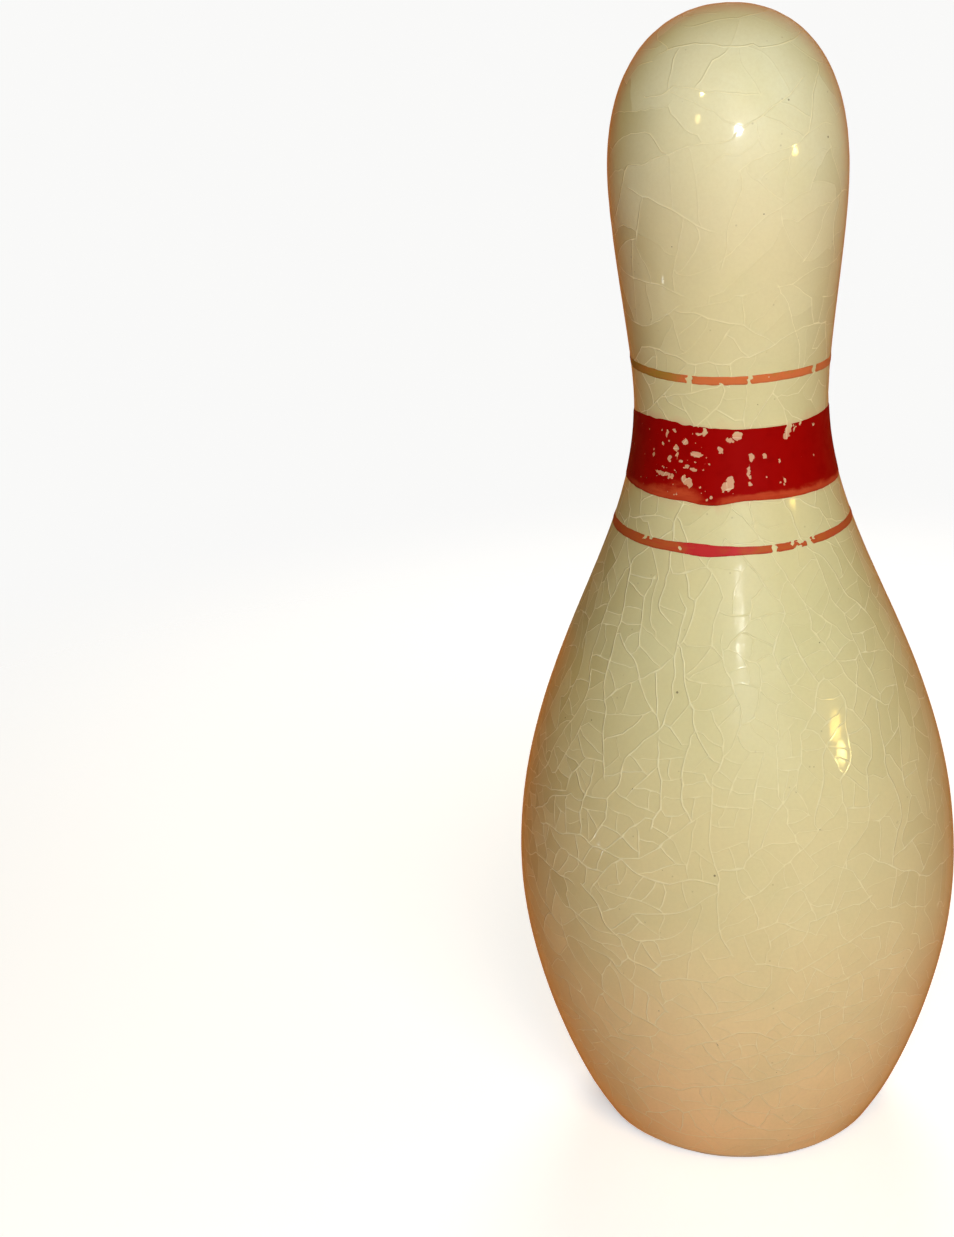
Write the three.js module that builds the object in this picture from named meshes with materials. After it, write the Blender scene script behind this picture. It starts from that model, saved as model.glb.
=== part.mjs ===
// A small hollow bowling pin of glazed earthenware: the slip-cast body with its bare foot ring, the
// glaze over it, three painted bands and the cork that closes the hole in the base.
// Millimetres, +Z up. The origin is the centre of the foot, on the surface that the pin stands on.
import * as THREE from 'three';

// Driving dimensions of the glazed outside: the radius and height of each landmark up the pin.
const HEIGHT = 120;
const FOOT = { radius: 15.7, height: 1.2 };
const BELLY = { radius: 23.7, height: 29.7 };
const NECK = { radius: 9.8, height: 81.4 };
const HEAD = { radius: 11.8, height: 104.5 };

// How far the outline runs on straight from each landmark before it bends to the next one.
const FLARE_ANGLE = THREE.MathUtils.degToRad(33);
const FLARE_PULL = 5.8;
const BELLY_PULL = { down: 10.4, up: 23.1 };
const NECK_PULL = { down: 15.9, up: 6.2 };
const HEAD_PULL = { down: 6.4, up: 9.9 };
const CROWN_PULL = 7.0;

// Walls, coats and the clearances between pieces.
const GLAZE_THICKNESS = 0.35;
const GLAZE_TO_CLAY = 0.1;
const CLAY_WALL = 3.2;
const PAINT_THICKNESS = 0.15;
const PAINT_TO_GLAZE = 0.05;

// The base: a foot ring round a shallow recess, with a hole through the floor.
const RING_WIDTH = 4.2;
const RECESS_DEPTH = 1.6;
const RECESS_SLOPE = 0.8;
const FLOOR_TOP = 5;
const FLOOR_FILLET = 3;
const HOLE_RADIUS = 5.8;

// The cork tapers upwards and stays above the surface that the pin stands on.
const CORK_BOTTOM = 0.5;
const CORK_TOP = 12.5;
const CORK_BOTTOM_RADIUS = 5.6;
const CORK_TOP_RADIUS = 4.8;
const CORK_CHAMFER = 0.6;

// Each band is given by the heights of its lower and upper edges.
const UPPER_THIN_BAND = { bottom: 85.0, top: 85.9 };
const WIDE_BAND = { bottom: 73.4, top: 80.5 };
const LOWER_THIN_BAND = { bottom: 68.4, top: 69.3 };

const SEGMENTS_ROUND = 40;
const CORK_SEGMENTS = 24;
const STATIONS_PER_CURVE = [7, 12, 5, 6];
const FILLET_STEPS = 4;

const point = (r, z) => new THREE.Vector2(r, z);

// The outline of the glazed outside, from the heel of the foot to the crown. Four curves meet with
// upright tangents at the belly, the neck and the head, and the last one ends level on the axis.
function outlineCurves() {
  const foot = point(FOOT.radius, FOOT.height);
  const flare = point(
    FOOT.radius + FLARE_PULL * Math.sin(FLARE_ANGLE),
    FOOT.height + FLARE_PULL * Math.cos(FLARE_ANGLE),
  );
  const above = ({ radius, height }, pull) => point(radius, height + pull);
  const landmark = (place) => above(place, 0);
  return [
    [foot, flare, above(BELLY, -BELLY_PULL.down), landmark(BELLY)],
    [landmark(BELLY), above(BELLY, BELLY_PULL.up), above(NECK, -NECK_PULL.down), landmark(NECK)],
    [landmark(NECK), above(NECK, NECK_PULL.up), above(HEAD, -HEAD_PULL.down), landmark(HEAD)],
    [landmark(HEAD), above(HEAD, HEAD_PULL.up), point(CROWN_PULL, HEIGHT), point(0, HEIGHT)],
  ].map((controls) => new THREE.CubicBezierCurve(...controls));
}

const OUTLINE = outlineCurves();

// A point of one outline curve, moved square to the outline by the given depth into the pin.
function sunkPoint(curve, t, depth) {
  const tangent = curve.getTangent(t);
  const inward = point(-tangent.y, tangent.x);
  return curve.getPoint(t).addScaledVector(inward, depth);
}

// The whole outline at a given depth below the glazed outside, from heel to crown.
function skin(depth) {
  const points = [sunkPoint(OUTLINE[0], 0, depth)];
  OUTLINE.forEach((curve, index) => {
    const stations = STATIONS_PER_CURVE[index];
    for (let step = 1; step <= stations; step += 1) {
      points.push(sunkPoint(curve, step / stations, depth));
    }
  });
  points.at(-1).x = 0;
  return points;
}

// The radius of the glazed outside at a given height, read along the facets of the glaze.
function glazeRadius(height) {
  const facets = skin(0);
  const next = facets.findIndex(({ y }) => y >= height);
  const [below, above] = [facets[next - 1], facets[next]];
  return THREE.MathUtils.mapLinear(height, below.y, above.y, below.x, above.x);
}

// A rounded corner between two points.
function roundedCorner(from, to, corner) {
  return new THREE.QuadraticBezierCurve(from, corner, to).getPoints(FILLET_STEPS);
}

// Turns a profile of radii and heights about +Z. The profile runs with the solid on its left.
function turn(name, profile, material, segments = SEGMENTS_ROUND) {
  const geometry = new THREE.LatheGeometry(profile, segments).rotateX(Math.PI / 2);
  const mesh = new THREE.Mesh(geometry, material);
  mesh.name = name;
  return mesh;
}

function plainMaterial(color, roughness) {
  return new THREE.MeshStandardMaterial({ color, roughness, metalness: 0 });
}

// The hollow clay body: open only at the hole in its floor.
function pinBody() {
  const depth = GLAZE_THICKNESS + GLAZE_TO_CLAY;
  const outside = skin(depth);
  const heel = outside[0];
  const ringOuter = heel.x - heel.y;
  const ringInner = ringOuter - RING_WIDTH;
  const cavity = skin(depth + CLAY_WALL).filter(({ y }) => y > FLOOR_TOP + FLOOR_FILLET);
  const wallFoot = point(cavity[0].x, FLOOR_TOP + FLOOR_FILLET);
  const floorEdge = point(wallFoot.x - FLOOR_FILLET, FLOOR_TOP);
  const profile = [
    ...cavity.reverse(),
    ...roundedCorner(wallFoot, floorEdge, point(wallFoot.x, FLOOR_TOP)),
    point(HOLE_RADIUS, FLOOR_TOP),
    point(HOLE_RADIUS, RECESS_DEPTH),
    point(ringInner - RECESS_SLOPE, RECESS_DEPTH),
    point(ringInner, 0),
    ...roundedCorner(point(ringOuter, 0), heel, point(heel.x, 0)),
    ...outside.slice(1),
  ];
  return turn('pin_body', profile, plainMaterial(0xd9cbb0, 0.85));
}

// The glaze: a thin coat over the whole outside of the clay above its bare foot ring.
function glazeCoat() {
  const profile = [...skin(GLAZE_THICKNESS).reverse(), ...skin(0)];
  return turn('glaze_coat', profile, plainMaterial(0xe0d8aa, 0.12));
}

// A painted ring that lies on the glaze between two heights and bends where the glaze does.
function paintedBand(name, { bottom, top }, material) {
  const bends = skin(0).map(({ y }) => y).filter((height) => height > bottom && height < top);
  const heights = [bottom, ...bends, top];
  const face = (outwards) => heights.map((height) => point(glazeRadius(height) + outwards, height));
  const outside = face(PAINT_TO_GLAZE + PAINT_THICKNESS);
  const inside = face(PAINT_TO_GLAZE);
  return turn(name, [...outside, ...inside.reverse(), outside[0]], material);
}

// The cork: a tapered plug with chamfered ends.
function baseStopper() {
  const profile = [
    point(0, CORK_BOTTOM),
    point(CORK_BOTTOM_RADIUS - CORK_CHAMFER, CORK_BOTTOM),
    point(CORK_BOTTOM_RADIUS, CORK_BOTTOM + CORK_CHAMFER),
    point(CORK_TOP_RADIUS, CORK_TOP - CORK_CHAMFER),
    point(CORK_TOP_RADIUS - CORK_CHAMFER, CORK_TOP),
    point(0, CORK_TOP),
  ];
  return turn('base_stopper', profile, plainMaterial(0xb58a5c, 0.9), CORK_SEGMENTS);
}

const pin = new THREE.Group();
pin.add(
  pinBody(),
  glazeCoat(),
  paintedBand('upper_thin_band', UPPER_THIN_BAND, plainMaterial(0xb5522e, 0.45)),
  paintedBand('wide_band', WIDE_BAND, plainMaterial(0xa50d10, 0.4)),
  paintedBand('lower_thin_band', LOWER_THIN_BAND, plainMaterial(0xb04038, 0.45)),
  baseStopper(),
);

export default pin;
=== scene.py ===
"""The looks of a small glazed-earthenware bowling pin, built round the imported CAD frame: a crazed
glaze, chipped hand-painted bands, a bare clay foot and a cork.

Metres, +Z up, the front of the pin towards -Y. A place on the pin is (azimuth, s): azimuth is the
angle from the front, positive towards +X, and s is the arc length up the outline from the heel."""
import math
import random
from itertools import product

import bpy
import numpy as np
from mathutils import Matrix, Vector, kdtree, noise
from mathutils.geometry import delaunay_2d_cdt


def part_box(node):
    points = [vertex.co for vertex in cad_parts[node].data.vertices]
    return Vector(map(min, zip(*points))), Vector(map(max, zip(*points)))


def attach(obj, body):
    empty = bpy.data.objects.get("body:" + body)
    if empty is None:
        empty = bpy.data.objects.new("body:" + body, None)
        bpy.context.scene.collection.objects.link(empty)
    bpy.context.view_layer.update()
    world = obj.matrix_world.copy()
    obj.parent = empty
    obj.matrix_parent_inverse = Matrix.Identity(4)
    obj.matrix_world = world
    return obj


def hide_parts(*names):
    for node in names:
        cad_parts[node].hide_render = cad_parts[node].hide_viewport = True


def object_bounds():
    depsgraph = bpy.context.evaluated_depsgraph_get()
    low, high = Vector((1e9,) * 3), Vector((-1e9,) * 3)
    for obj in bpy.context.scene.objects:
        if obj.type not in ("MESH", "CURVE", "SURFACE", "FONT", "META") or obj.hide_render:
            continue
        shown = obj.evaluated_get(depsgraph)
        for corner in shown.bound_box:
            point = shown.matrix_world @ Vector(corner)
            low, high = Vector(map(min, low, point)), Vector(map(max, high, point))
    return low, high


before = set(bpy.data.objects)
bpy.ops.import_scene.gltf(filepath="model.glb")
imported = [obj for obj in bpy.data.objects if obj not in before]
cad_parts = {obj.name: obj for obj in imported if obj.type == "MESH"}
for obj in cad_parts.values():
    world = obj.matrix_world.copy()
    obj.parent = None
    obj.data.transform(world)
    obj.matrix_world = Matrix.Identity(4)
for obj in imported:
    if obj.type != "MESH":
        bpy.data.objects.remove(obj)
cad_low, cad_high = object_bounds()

MM = 0.001
TURN = 2 * math.pi
PIN_HEIGHT = cad_high.z - cad_low.z

# Coats, as in the CAD.
GLAZE_THICKNESS = 0.35 * MM
GLAZE_TO_CLAY = 0.1 * MM

# The base, as in the CAD.
HEEL_HEIGHT = 1.2 * MM
CLAY_WALL = 3.2 * MM
RING_WIDTH = 4.2 * MM
RECESS_DEPTH = 1.6 * MM
FLOOR_TOP = 5.0 * MM
HOLLOW_FOOT = 8.2 * MM
HOLE_RADIUS = 5.8 * MM
CORK_TOP_RADIUS = 4.8 * MM

# How cracks grow. A crack sees others within CRACK_SIGHT, bends towards one that lies within
# CRACK_BEND_ANGLE of its way, and joins it at CRACK_TOUCH. Angles are in radians.
CRACK_STEP = 0.7 * MM
CRACK_TOUCH = 0.45 * MM
CRACK_SIGHT = 1.1 * MM
CRACK_BEND_ANGLE = 1.2
CRACK_BEND = 0.4
CRACK_STEADINESS = 0.2
CRACK_SHAKE = 0.19
CRACK_KINK = 0.55
CRACK_KINK_CHANCE = 0.16
CRAZE_SEED = 7

# The shape of a crack, and how much of its depth must be there for it to show.
CRACK_HALF_WIDTH = 0.11 * MM
CRACK_DEPTH = 0.012 * MM
CRACK_SHOWN = 0.25
CELL_SEED = 31

# The glaze mesh: the spacing of its points, its rings' share of that, the radius of the cap at the
# crown, and how far cracks stay from its borders.
GLAZE_SPACING = 1.4 * MM
RING_SPACING = 0.87
CAP_RADIUS = 1.3 * MM
BORDER_MARGIN = 0.5 * MM


# ------------------------ the outline and the surface

def cad_stations(node):
    """The corners (radius, height) of a turned CAD node's outer face, from its foot to the axis."""
    corners = np.array([vertex.co[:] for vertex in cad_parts[node].data.vertices])
    half = np.column_stack([np.hypot(corners[:, 0], corners[:, 1]), corners[:, 2]])
    same = 0.01 * MM
    stations = []
    for corner in half[np.lexsort((half[:, 0], half[:, 1]))]:
        if not any(np.hypot(*(corner - other)) < same for other in stations):
            stations.append(corner)
    stations = np.array(stations)
    coat = GLAZE_THICKNESS + same
    outer = []
    for corner in stations:
        out, up = (stations - corner).T
        far = np.hypot(out, up)
        further_out = (out > same) | ((abs(out) <= same) & (up > 0))
        if not np.any(further_out & (far > same) & (far < coat)):
            outer.append(corner)
    return np.array(sorted(outer, key=lambda corner: corner[1]))


def spline_through(stations, count):
    """Points along the natural cubic spline through the stations, evenly spaced by chord length."""
    steps = np.linalg.norm(np.diff(stations, axis=0), axis=1)
    knots = np.concatenate([[0], np.cumsum(steps)])
    slopes = np.diff(stations, axis=0) / steps[:, None]
    system = np.eye(len(knots))
    pulls = np.zeros_like(stations)
    for i in range(1, len(knots) - 1):
        system[i, i - 1:i + 2] = steps[i - 1], 2 * (steps[i - 1] + steps[i]), steps[i]
        pulls[i] = 6 * (slopes[i] - slopes[i - 1])
    bends = np.linalg.solve(system, pulls)
    along = np.linspace(0, knots[-1], count)
    i = np.clip(np.searchsorted(knots, along, side="right") - 1, 0, len(steps) - 1)
    span = steps[i][:, None]
    b = ((along - knots[i]) / steps[i])[:, None]
    a = 1 - b
    straight = a * stations[i] + b * stations[i + 1]
    return straight + ((a**3 - a) * bends[i] + (b**3 - b) * bends[i + 1]) * span**2 / 6


OUTLINE_STEPS = 4000


class Outline:
    """The glazed outside in half section, looked up by arc length s from the heel to the crown."""

    def __init__(self, stations):
        """The spline runs over the crown and down the other side, so that it's level on the axis."""
        mirrored = stations[-2::-1] * [-1, 1]
        whole = spline_through(np.concatenate([stations, mirrored]), 2 * OUTLINE_STEPS + 1)
        section = whole[:OUTLINE_STEPS + 1]
        self.r, self.z = section[:, 0].clip(0), section[:, 1]
        self.r[-1] = 0
        steps = np.hypot(np.diff(self.r), np.diff(self.z))
        self.s = np.concatenate([[0], np.cumsum(steps)])
        slope_r, slope_z = np.gradient(self.r, self.s), np.gradient(self.z, self.s)
        size = np.hypot(slope_r, slope_z)
        self.out_r, self.out_z = slope_z / size, -slope_r / size
        self.top = self.s[-1]
        inverse = 1 / self.r.clip(CAP_RADIUS / 4)
        self.flat = np.concatenate([[0], np.cumsum((inverse[1:] + inverse[:-1]) / 2 * steps)])
        self.area = np.concatenate([[0], np.cumsum(self.r[1:] * steps)])

    def radius(self, s):
        return np.interp(s, self.s, self.r)

    def height(self, s):
        return np.interp(s, self.s, self.z)

    def moved(self, s, lift):
        """The radius and the height at s, moved outwards by lift."""
        out_r, out_z = (np.interp(s, self.s, out) for out in (self.out_r, self.out_z))
        return self.radius(s) + out_r * lift, self.height(s) + out_z * lift

    def at_height(self, z):
        """The arc length at which the outline reaches a height."""
        return np.interp(z, self.z, self.s)

    def flattened(self, s):
        """The height of s in the plane (azimuth, flat), which keeps small shapes' angles."""
        return np.interp(s, self.s, self.flat)

    def unflattened(self, flat):
        return np.interp(flat, self.flat, self.s)


outline = Outline(cad_stations("glaze_coat"))

# The hand-cast form isn't perfectly round: each ripple is (height, turns round, waves up, phase).
RIPPLES = [
    (0.060 * MM, 2, 0.8, 0.4),
    (0.040 * MM, 3, 1.7, 2.0),
    (0.022 * MM, 5, 3.1, 4.1),
    (0.012 * MM, 8, 6.3, 1.1),
]
RIPPLE_FADE_RADIUS = 8 * MM


def ripple(azimuth, s):
    """How far the cast form stands proud of the true outline."""
    fade = np.clip(outline.radius(s) / RIPPLE_FADE_RADIUS, 0, 1)
    waves = sum(
        height * np.cos(turns * azimuth + TURN * up * s / outline.top + phase)
        for height, turns, up, phase in RIPPLES
    )
    return waves * fade**2


def turned(radius, height, azimuth):
    """Points at a radius and a height, turned about +Z to an azimuth. Arrays give rows of points."""
    return np.stack([radius * np.sin(azimuth), -radius * np.cos(azimuth), height + 0 * azimuth], -1)


def on_surface(azimuth, s, lift=0.0):
    """Points on the glazed outside, moved outwards by lift."""
    azimuth, s = np.asarray(azimuth, float), np.asarray(s, float)
    return turned(*outline.moved(s, ripple(azimuth, s) + lift), azimuth)


def surface_normals(azimuth, s):
    """Outward unit normals of the glazed outside."""
    d_azimuth, d_s = 1e-3, 0.05 * MM
    low, high = np.clip(s - d_s, 0, outline.top), np.clip(s + d_s, 0, outline.top)
    round_it = on_surface(azimuth + d_azimuth, s) - on_surface(azimuth - d_azimuth, s)
    up_it = on_surface(azimuth, high) - on_surface(azimuth, low)
    normals = np.cross(round_it, up_it)
    return normals / np.linalg.norm(normals, axis=1, keepdims=True).clip(1e-20)


def wrapped(angle):
    """The same angle between minus and plus half a turn."""
    return (angle + math.pi) % TURN - math.pi


def smooth_step(value, low, high):
    t = np.clip((value - low) / (high - low), 0, 1)
    return t * t * (3 - 2 * t)


def soft_noise(points, size, offset=0.0):
    """Smooth noise between about -1 and 1 at points, with features of the given size."""
    shift = Vector((offset, 0.37 * offset, 0.71 * offset))
    return np.array([noise.noise(Vector(p) / size + shift) for p in points])


# ------------------------ crazing

class CrackNet:
    """The cracks so far, with a grid of cells that finds the nearest crack point to a place."""

    def __init__(self):
        self.cells = {}
        self.places = []
        self.points = []
        self.cracks = []

    def cell(self, point):
        return tuple(math.floor(value / CRACK_SIGHT) for value in point)

    def nearest(self, point):
        """The distance to the nearest crack point in sight, and its number or None."""
        gap, found = CRACK_SIGHT, None
        for cell in product(*((middle - 1, middle, middle + 1) for middle in self.cell(point))):
            for number in self.cells.get(cell, ()):
                distance = math.dist(point, self.points[number])
                if distance < gap:
                    gap, found = distance, number
        return gap, found

    def add(self, path, strength, ends):
        points = on_surface(*path.T)
        for place, point in zip(path.tolist(), points.tolist()):
            self.cells.setdefault(self.cell(point), []).append(len(self.points))
            self.places.append(place)
            self.points.append(point)
        self.cracks.append((path, strength, ends))
        return points


def grow_crack(net, place, course, length, dice):
    """Walks a crack from a place, shaking and kinking about its course, until it meets another one.

    Returns the path and whether it met another crack."""
    azimuth, s = place
    heading = course
    path = []
    for _ in range(int(length / CRACK_STEP)):
        radius = float(outline.radius(s))
        azimuth += math.cos(heading) * CRACK_STEP / radius
        s += math.sin(heading) * CRACK_STEP
        if s < BORDER_MARGIN or outline.radius(s) < CAP_RADIUS + BORDER_MARGIN:
            break
        gap, number = net.nearest(on_surface(azimuth, s).tolist())
        if number is not None:
            across = wrapped(net.places[number][0] - azimuth)
            up = net.places[number][1] - s
            if gap < CRACK_TOUCH:
                path.append((azimuth + across, s + up))
                return path, True
            swing = wrapped(math.atan2(up, across * radius) - heading)
            if abs(swing) < CRACK_BEND_ANGLE:
                heading += CRACK_BEND * swing * (1 - gap / CRACK_SIGHT)
        path.append((azimuth, s))
        kink = dice.gauss(0, CRACK_KINK) if dice.random() < CRACK_KINK_CHANCE else 0
        heading += CRACK_STEADINESS * wrapped(course - heading) + kink + dice.gauss(0, CRACK_SHAKE)
    return path, False


def craze_size(points):
    """The half width that cells of crazing reach: fine on the shoulder, wide on the head."""
    height = points[:, 2] / PIN_HEIGHT
    head = smooth_step(height, 0.70, 0.85)
    neck = smooth_step(height, 0.5, 0.6) * (1 - head)
    foot = 1 - smooth_step(height, 0.14, 0.34)
    size = (0.92 + 0.6 * head + 0.2 * neck + 0.15 * foot) * MM
    return size * (1 + 0.4 * soft_noise(points, 12 * MM, 3.0))


def craze_grain(azimuth, height):
    """The way the first cracks run: upright on the shoulder and neck, level elsewhere."""
    share = height / PIN_HEIGHT
    upright = smooth_step(share, 0.28, 0.42) * (1 - smooth_step(share, 0.64, 0.72))
    slant = 0.2 * math.sin(2 * azimuth + 0.8) + 0.15 * math.sin(3 * azimuth + 55 * height)
    return upright * math.pi / 2 + slant


# Cracks start from probes, spread evenly over the glaze by these steps of the turn and of the area.
PROBE_COUNT = 24000
PROBE_TURN_STEP = 0.7548776662466927
PROBE_AREA_STEP = 0.5698402909980532

# Where the gap is this many times the wanted size, a long crack starts along the grain.
OPEN_GLAZE = 2.6


def plan_crack(net, place, height, target, dice):
    """The course, length and strength of a new crack: along the grain, or towards a target."""
    azimuth, s = place
    if target is None:
        course = craze_grain(azimuth, height) + dice.gauss(0, 0.25)
        return course, dice.uniform(5, 18) * MM, dice.uniform(0.65, 1.0)
    near_azimuth, near_s = net.places[target]
    across = wrapped(near_azimuth - azimuth) * float(outline.radius(s))
    course = math.atan2(near_s - s, across) + dice.gauss(0, 0.3)
    return course, 9 * MM, dice.uniform(0.45, 0.9)


def craze():
    """Fills the glaze with cracks: long ones along the grain, then shorter ones across the gaps."""
    dice = random.Random(CRAZE_SEED)
    numbers = np.arange(PROBE_COUNT)
    azimuths = (numbers * PROBE_TURN_STEP % 1 - 0.5) * TURN
    arcs = np.interp(numbers * PROBE_AREA_STEP % 1 * outline.area[-1], outline.area, outline.s)
    probes = on_surface(azimuths, arcs)
    sizes = craze_size(probes)
    gaps = np.ones(PROBE_COUNT)
    nearest = np.zeros(PROBE_COUNT, int)
    net = CrackNet()
    while True:
        seed = int(np.argmax(gaps / sizes))
        need = gaps[seed] / sizes[seed]
        if need < 1:
            return net.cracks
        place = float(azimuths[seed]), float(arcs[seed])
        target = None if need > OPEN_GLAZE else nearest[seed]
        course, length, strength = plan_crack(net, place, probes[seed][2], target, dice)
        ahead, met_ahead = grow_crack(net, place, course, length, dice)
        behind, met_behind = grow_crack(net, place, course + math.pi, length, dice)
        path = np.array(behind[::-1] + [place] + ahead)
        if len(path) < 3:
            gaps[seed] = 0
            continue
        before = len(net.points)
        points = net.add(path, strength, (met_behind, met_ahead))
        reach = 3 * sizes.max() if before else 1.0
        near = np.where(((probes > points.min(0) - reach) & (probes < points.max(0) + reach)).all(1))[0]
        spread = np.linalg.norm(probes[near, None] - points[None], axis=2)
        better = spread.min(1) < gaps[near]
        gaps[near[better]] = spread.min(1)[better]
        nearest[near[better]] = before + spread.argmin(1)[better]


def crack_edge(path, side):
    """A line beside a crack, on one side of it, that stops just short of the crack's two ends."""
    radius = outline.radius(path[:, 1])
    along = np.column_stack([np.gradient(path[:, 0]) * radius, np.gradient(path[:, 1])])
    along /= np.linalg.norm(along, axis=1, keepdims=True).clip(1e-12)
    edge = path + side * CRACK_HALF_WIDTH * np.column_stack([-along[:, 1] / radius, along[:, 0]])
    trim = 0.2
    edge[0] = (1 - trim) * edge[0] + trim * edge[1]
    edge[-1] = (1 - trim) * edge[-1] + trim * edge[-2]
    return edge


# ------------------------ meshes

def add_object(name, data):
    made = bpy.data.objects.new(name, data)
    bpy.context.scene.collection.objects.link(made)
    return made


def make_piece(name, points, faces, normals=None):
    """A smooth-shaded mesh object. Rows of normals that are zero keep Blender's own normal."""
    mesh = bpy.data.meshes.new(name)
    mesh.from_pydata(np.asarray(points).tolist(), [], [list(face) for face in faces])
    mesh.polygons.foreach_set("use_smooth", np.ones(len(mesh.polygons), bool))
    if normals is not None:
        mesh.normals_split_custom_set_from_vertices(np.asarray(normals).tolist())
    mesh.update()
    return add_object(name, mesh)


def add_values(piece, name, values, domain="POINT"):
    """Stores a number for each vertex or face, for the materials to read. Those left out at the end
    are zero."""
    layer = piece.data.attributes.new(name, "FLOAT", domain)
    padded = np.zeros(len(layer.data), np.float32)
    padded[:len(values)] = values
    layer.data.foreach_set("value", padded)


def dress(piece, material, body, node):
    """Gives a piece its material and its body, and hides the CAD node it stands for."""
    piece.data.materials.append(material)
    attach(piece, body)
    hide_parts(node)


# Tiny pits in the glaze, besides the scattered ones: (azimuth in degrees, height and radius in mm).
PLACED_PITS = [(31, 111.4, 0.13), (53, 107.7, 0.15), (-18, 55.8, 0.17), (-5, 38.7, 0.16), (-5, 19.1, 0.13)]
SCATTERED_PITS = 46
PIT_SEED = 23
PIT_DEPTH = 0.07 * MM
PIT_CORNERS = 8


def glaze_pits():
    """The pits as rows of (azimuth, s, radius)."""
    dice = random.Random(PIT_SEED)
    pits = [
        (math.radians(degrees), float(outline.at_height(height * MM)), radius * MM)
        for degrees, height, radius in PLACED_PITS
    ]
    for _ in range(SCATTERED_PITS):
        azimuth = dice.uniform(-math.pi, math.pi)
        share = dice.uniform(0.02, 0.97)
        s = float(np.interp(share * outline.area[-1], outline.area, outline.s))
        pits.append((azimuth, s, dice.uniform(0.05, 0.13) * MM))
    return pits


class FlatPlan:
    """Points and lines in the plane (azimuth, flat), gathered for one triangulation."""

    def __init__(self):
        self.points = []
        self.lines = []

    def add_points(self, places):
        flat = outline.flattened(places[:, 1])
        self.points.extend(zip(places[:, 0].tolist(), flat.tolist()))

    def add_line(self, places):
        start = len(self.points)
        self.add_points(places)
        self.lines.extend((i, i + 1) for i in range(start, start + len(places) - 1))

    def triangles(self):
        """The triangulation as places (azimuth, s) and faces."""
        corners = [Vector(point) for point in self.points]
        made = delaunay_2d_cdt(corners, self.lines, [], 0, 1e-7, False)
        spots = np.array([corner[:] for corner in made[0]])
        faces = np.array([face[:] for face in made[2]])
        middles = spots[faces].mean(1)
        faces = faces[abs(middles[:, 0]) < math.pi]
        return np.column_stack([spots[:, 0], outline.unflattened(spots[:, 1])]), faces


def ring_stops():
    """The arc lengths of the glaze mesh's rings, from its lower edge to the rim of the crown's cap."""
    last = outline.s[np.argmax((outline.s > outline.top / 2) & (outline.r <= CAP_RADIUS))]
    return np.linspace(0, last, int(last / (RING_SPACING * GLAZE_SPACING)))


def glaze_plan(cracks, pits):
    """Everything that the glaze's outer face is triangulated from."""
    plan = FlatPlan()
    stops = ring_stops()
    for row, s in enumerate(stops):
        count = 4 * round(TURN * float(outline.radius(s)) / GLAZE_SPACING / 4)
        azimuths = (np.arange(count + 1) / count - 0.5) * TURN
        ring = np.column_stack([azimuths, np.full(count + 1, s)])
        if row in (0, len(stops) - 1):
            plan.add_line(ring)
        else:
            ring[:, 0] += TURN / count / 2 * (row % 2)
            plan.add_points(ring[1:-1])
    for side in (-math.pi, math.pi):
        plan.add_line(np.column_stack([np.full(len(stops), side), stops]))
    for path, _, _ in cracks:
        path = path - [TURN * round(path[:, 0].mean() / TURN), 0]
        for copy in (0, -TURN, TURN):
            moved = path + [copy, 0]
            if moved[:, 0].min() < math.pi and moved[:, 0].max() > -math.pi:
                plan.add_line(moved)
                for edge in (-1, 1):
                    plan.add_line(crack_edge(moved, edge))
    for azimuth, s, radius in pits:
        corners = np.arange(PIT_CORNERS) / PIT_CORNERS * TURN
        rim = np.column_stack([
            azimuth + radius * np.cos(corners) / outline.radius(s),
            s + radius * np.sin(corners),
        ])
        plan.add_points(np.concatenate([rim, [(azimuth, s)]]))
    return plan


def sew_seam(places, faces):
    """Joins the two sides of the flat plan at the back of the pin, and drops unused points."""
    left, right = (np.where(abs(places[:, 0] - side) < 1e-6)[0] for side in (-math.pi, math.pi))
    stand_in = np.arange(len(places))
    for number in right:
        stand_in[number] = left[np.argmin(abs(places[left, 1] - places[number, 1]))]
    faces = stand_in[faces]
    three_cornered = np.diff(np.sort(faces), axis=1).all(1)
    used, faces = np.unique(faces[three_cornered], return_inverse=True)
    return places[used], faces.reshape(-1, 3)


def round_pairs(ring):
    """Each of a ring's members with the next one, and the last with the first."""
    return zip(ring, ring[1:] + ring[:1])


def open_edges(faces):
    """The directed edges that only one face has."""
    directed = {pair for face in faces for pair in round_pairs(face)}
    return [(a, b) for a, b in directed if (b, a) not in directed]


def turned_faces(first, rows, columns, outward=True):
    """Quads between rows of points round the pin, where point = first + row * columns + column."""
    faces = []
    for low in range(first, first + (rows - 1) * columns, columns):
        high = low + columns
        for here, after in round_pairs(list(range(columns))):
            quad = (low + here, low + after, high + after, high + here)
            faces.append(quad if outward else quad[::-1])
    return faces


def fan(ring, centre):
    """Triangles from a ring of point numbers to a centre point."""
    return [(a, b, centre) for a, b in round_pairs(ring)]


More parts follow.
